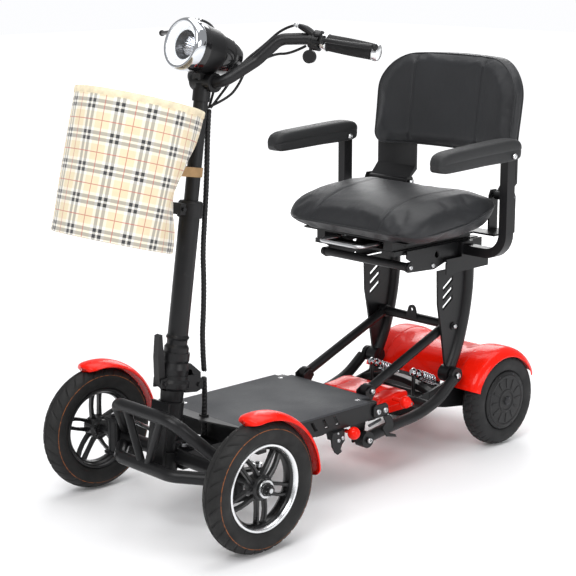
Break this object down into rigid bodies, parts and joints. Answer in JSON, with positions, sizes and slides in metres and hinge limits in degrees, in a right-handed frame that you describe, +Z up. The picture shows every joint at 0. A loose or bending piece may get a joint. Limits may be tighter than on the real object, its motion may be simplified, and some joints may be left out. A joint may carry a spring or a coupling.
{
  "type": "mobility scooter",
  "caption": "Folding four-wheel mobility scooter with a telescopic tiller, round fabric basket, headlamp, padded seat with flip-up armrests and rear hub motors.",
  "frame": {"origin": "on the floor under the middle of the scooter", "axes": "+X forward, +Y to the rider's left, +Z up"},
  "size_m": [1.1727, 0.6186, 0.9641],
  "materials": {
    "frame_paint": "satin black powder coat",
    "deck_surface": "fine-textured dark grey",
    "bright_steel": "zinc-plated",
    "bright_trim": "polished chrome",
    "red_paint": "gloss red",
    "black_plastic": "satin black",
    "grip_rubber": "matt ribbed",
    "cord_sleeve": "matt",
    "lamp_glass": "clear",
    "basket_fabric": "woven tartan on cream",
    "strap_fabric": "tan webbing",
    "tyre_rubber": "matt",
    "rim_paint": "black with a machined lip",
    "motor_casing": "satin black",
    "upholstery": "grained black vinyl",
    "arm_skin": "soft black foam skin"
  },
  "bodies": {
    "chassis": {"front_frame": "frame_paint", "front_bumper": "frame_paint", "neck_cover": "frame_paint", "deck_plate": "deck_surface", "deck_side_rails": "frame_paint", "deck_lugs": "frame_paint", "frame_bolts": "bright_steel", "harness_lower": "cord_sleeve"},
    "steering": {"steering_stem": "frame_paint"},
    "tiller": {"tiller_lower_tube": "frame_paint", "height_clamp": "frame_paint"},
    "fold_lever": {"fold_latch_lever": "frame_paint"},
    "clamp_lever": {"clamp_lever": "frame_paint"},
    "handlebars": {"tiller_upper_tube": "frame_paint", "handlebar": "frame_paint", "grips": "grip_rubber", "grip_trims": "bright_trim", "control_perches": "black_plastic", "lamp_housing": "black_plastic", "lamp_bezel": "bright_trim", "lamp_lens": "lamp_glass", "basket": "basket_fabric", "basket_strap": "strap_fabric", "harness_upper": "cord_sleeve", "brake_cables": "cord_sleeve"},
    "brake_lever_left": {"brake_lever_left": "black_plastic"},
    "brake_lever_right": {"brake_lever_right": "black_plastic"},
    "thumb_throttle": {"thumb_throttle": "black_plastic"},
    "rear_frame": {"rear_frame": "frame_paint", "controller_cover": "red_paint", "rear_cover": "red_paint", "dampers": "bright_steel"},
    "seat_frame": {"uprights": "frame_paint", "upright_cross_tube": "frame_paint", "seat_bracket": "frame_paint", "arm_posts": "frame_paint"},
    "struts": {"struts": "frame_paint"},
    "seat": {"seat_pan": "frame_paint", "seat_cushion": "upholstery"},
    "seat_release": {"seat_release_wire": "bright_steel"},
    "backrest": {"backrest_cushion": "upholstery", "backrest_brackets": "frame_paint"},
    "front_latch": {"latch_knob_front": "red_paint"},
    "rear_latch": {"latch_knob_rear": "red_paint"},
    "knuckle_left": {"knuckle_left": "frame_paint", "front_fender_left": "red_paint"},
    "tie_rod_left": {"tie_rod_left": "bright_steel"},
    "front_wheel_left": {"front_tyre_left": "tyre_rubber", "front_rim_left": "rim_paint"},
    "rear_wheel_left": {"rear_tyre_left": "tyre_rubber", "hub_motor_left": "motor_casing"},
    "armrest_left": {"arm_pad_left": "arm_skin"},
    "knuckle_right": {"knuckle_right": "frame_paint", "front_fender_right": "red_paint"},
    "tie_rod_right": {"tie_rod_right": "bright_steel"},
    "front_wheel_right": {"front_tyre_right": "tyre_rubber", "front_rim_right": "rim_paint"},
    "rear_wheel_right": {"rear_tyre_right": "tyre_rubber", "hub_motor_right": "motor_casing"},
    "armrest_right": {"arm_pad_right": "arm_skin"}
  },
  "joints": [
    {"name": "steering_turn", "type": "hinge", "parent": "chassis", "child": "steering", "pos_m": [0.34928, 0, 0.19785], "axis": [-0.1461, 0, 0.9893], "range_deg": [-34, 34]},
    {"name": "knuckle_left_turn", "type": "hinge", "parent": "chassis", "child": "knuckle_left", "pos_m": [0.3416, 0.185, 0.1275], "axis": [0, 0, 1], "range_deg": [-27.3, 27.3]},
    {"name": "tie_rod_left_turn", "type": "hinge", "parent": "knuckle_left", "child": "tie_rod_left", "pos_m": [0.3016, 0.2, 0.1485], "axis": [0, 0, 1], "range_deg": [-27.3, 27.3]},
    {"name": "front_wheel_left_spin", "type": "hinge", "parent": "knuckle_left", "child": "front_wheel_left", "pos_m": [0.3416, 0.2464, 0.1275], "axis": [0, 1, 0], "continuous": true},
    {"name": "knuckle_right_turn", "type": "hinge", "parent": "chassis", "child": "knuckle_right", "pos_m": [0.3416, -0.185, 0.1275], "axis": [0, 0, 1], "range_deg": [-27.3, 27.3]},
    {"name": "tie_rod_right_turn", "type": "hinge", "parent": "knuckle_right", "child": "tie_rod_right", "pos_m": [0.3016, -0.2, 0.1485], "axis": [0, 0, 1], "range_deg": [-27.3, 27.3]},
    {"name": "front_wheel_right_spin", "type": "hinge", "parent": "knuckle_right", "child": "front_wheel_right", "pos_m": [0.3416, -0.2464, 0.1275], "axis": [0, 1, 0], "continuous": true},
    {"name": "tiller_fold", "type": "hinge", "parent": "steering", "child": "tiller", "pos_m": [0.2856, 0, 0.262], "axis": [0, 1, 0], "range_deg": [-25, 0]},
    {"name": "fold_lever_turn", "type": "hinge", "parent": "steering", "child": "fold_lever", "pos_m": [0.3686, 0, 0.279], "axis": [0, 1, 0], "range_deg": [0, 70]},
    {"name": "clamp_lever_turn", "type": "hinge", "parent": "tiller", "child": "clamp_lever", "pos_m": [0.31581, -0.02, 0.60938], "axis": [0, 1, 0], "range_deg": [0, 90]},
    {"name": "height_slide", "type": "slide", "parent": "tiller", "child": "handlebars", "axis": [-0.1461, 0, 0.9893], "range_m": [0, 0.08]},
    {"name": "brake_lever_left_pull", "type": "hinge", "parent": "handlebars", "child": "brake_lever_left", "pos_m": [0.14064, 0.20395, 0.92598], "axis": [-0.2846, 0.046, 0.9576], "range_deg": [0, 4.5], "stiffness_Nm_per_rad": 1.5, "springref_deg": -17.19},
    {"name": "brake_lever_right_pull", "type": "hinge", "parent": "handlebars", "child": "brake_lever_right", "pos_m": [0.14064, -0.20395, 0.92598], "axis": [0.2846, 0.046, -0.9576], "range_deg": [0, 4.5], "stiffness_Nm_per_rad": 1.5, "springref_deg": -17.19},
    {"name": "thumb_throttle_push", "type": "hinge", "parent": "handlebars", "child": "thumb_throttle", "pos_m": [0.13045, 0.16724, 0.92472], "axis": [-0.3941, 0.9049, -0.1606], "range_deg": [0, 25], "stiffness_Nm_per_rad": 0.2, "springref_deg": -11.46},
    {"name": "rear_fold", "type": "hinge", "parent": "chassis", "child": "rear_frame", "pos_m": [-0.0524, 0, 0.103], "axis": [0, -1, 0], "range_deg": [0, 45]},
    {"name": "seat_frame_tip", "type": "hinge", "parent": "rear_frame", "child": "seat_frame", "pos_m": [-0.3454, 0, 0.18], "axis": [0, 1, 0], "range_deg": [0, 36.88]},
    {"name": "strut_turn", "type": "hinge", "parent": "seat_frame", "child": "struts", "pos_m": [-0.3574, 0, 0.285], "axis": [0, -1, 0], "range_deg": [0, 43.44]},
    {"name": "rear_wheel_left_spin", "type": "hinge", "parent": "rear_frame", "child": "rear_wheel_left", "pos_m": [-0.4767, 0.1442, 0.1035], "axis": [0, 1, 0], "continuous": true},
    {"name": "rear_wheel_right_spin", "type": "hinge", "parent": "rear_frame", "child": "rear_wheel_right", "pos_m": [-0.4767, -0.1442, 0.1035], "axis": [0, 1, 0], "continuous": true},
    {"name": "seat_slide", "type": "slide", "parent": "seat_frame", "child": "seat", "axis": [1, 0, 0], "range_m": [-0.025, 0.025]},
    {"name": "seat_release_lift", "type": "hinge", "parent": "seat", "child": "seat_release", "pos_m": [-0.1984, 0, 0.486], "axis": [0, -1, 0], "range_deg": [0, 6], "stiffness_Nm_per_rad": 1, "springref_deg": -17.19},
    {"name": "backrest_fold", "type": "hinge", "parent": "seat", "child": "backrest", "pos_m": [-0.4244, 0, 0.572], "axis": [0, 1, 0], "range_deg": [0, 68]},
    {"name": "armrest_left_lift", "type": "hinge", "parent": "seat_frame", "child": "armrest_left", "pos_m": [-0.3644, 0.236, 0.67], "axis": [0, -1, 0], "range_deg": [0, 90]},
    {"name": "armrest_right_lift", "type": "hinge", "parent": "seat_frame", "child": "armrest_right", "pos_m": [-0.3644, -0.236, 0.67], "axis": [0, -1, 0], "range_deg": [0, 90]},
    {"name": "front_latch_pull", "type": "slide", "parent": "chassis", "child": "front_latch", "axis": [0, 1, 0], "range_m": [0, 0.008], "stiffness_N_per_m": 400, "springref_m": -0.004},
    {"name": "rear_latch_pull", "type": "slide", "parent": "rear_frame", "child": "rear_latch", "axis": [0, 1, 0], "range_m": [0, 0.008], "stiffness_N_per_m": 400, "springref_m": -0.004}
  ],
  "couplings": [
    {"joint": "knuckle_left_turn", "follows": "steering_turn", "ratio": 0.8},
    {"joint": "tie_rod_left_turn", "follows": "steering_turn", "ratio": -0.8},
    {"joint": "knuckle_right_turn", "follows": "steering_turn", "ratio": 0.8},
    {"joint": "tie_rod_right_turn", "follows": "steering_turn", "ratio": -0.8},
    {"joint": "seat_frame_tip", "follows": "rear_fold", "ratio": 0.8196},
    {"joint": "strut_turn", "follows": "rear_fold", "ratio": 0.9653}
  ]
}
